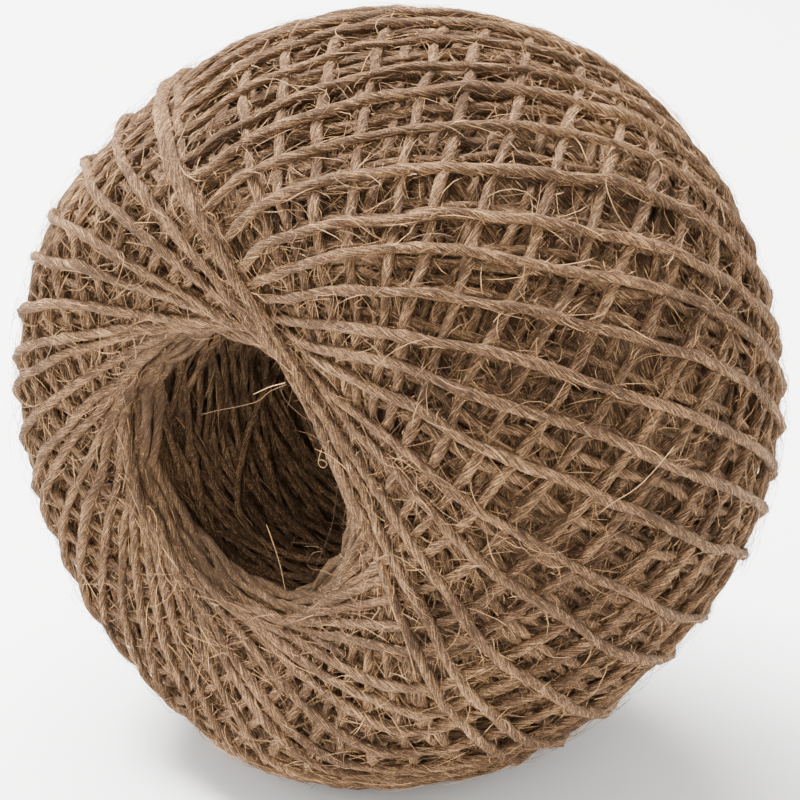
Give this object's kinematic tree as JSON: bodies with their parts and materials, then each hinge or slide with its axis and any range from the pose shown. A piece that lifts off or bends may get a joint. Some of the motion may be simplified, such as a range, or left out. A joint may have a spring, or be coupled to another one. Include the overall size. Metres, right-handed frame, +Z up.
{
  "type": "ball of twine",
  "caption": "Ball of natural jute garden twine, cross-wound in one layered body round an open bore, for tying plants and parcels.",
  "frame": {"origin": "on the floor, under the middle of the ball", "axes": "+Z up, bore along Y, the mouth with the bundle of last wraps faces -Y"},
  "size_m": [0.1112, 0.075, 0.1094],
  "materials": {
    "ball": "rough natural jute"
  },
  "bodies": {
    "root": {"ball": "ball"}
  },
  "joints": []
}
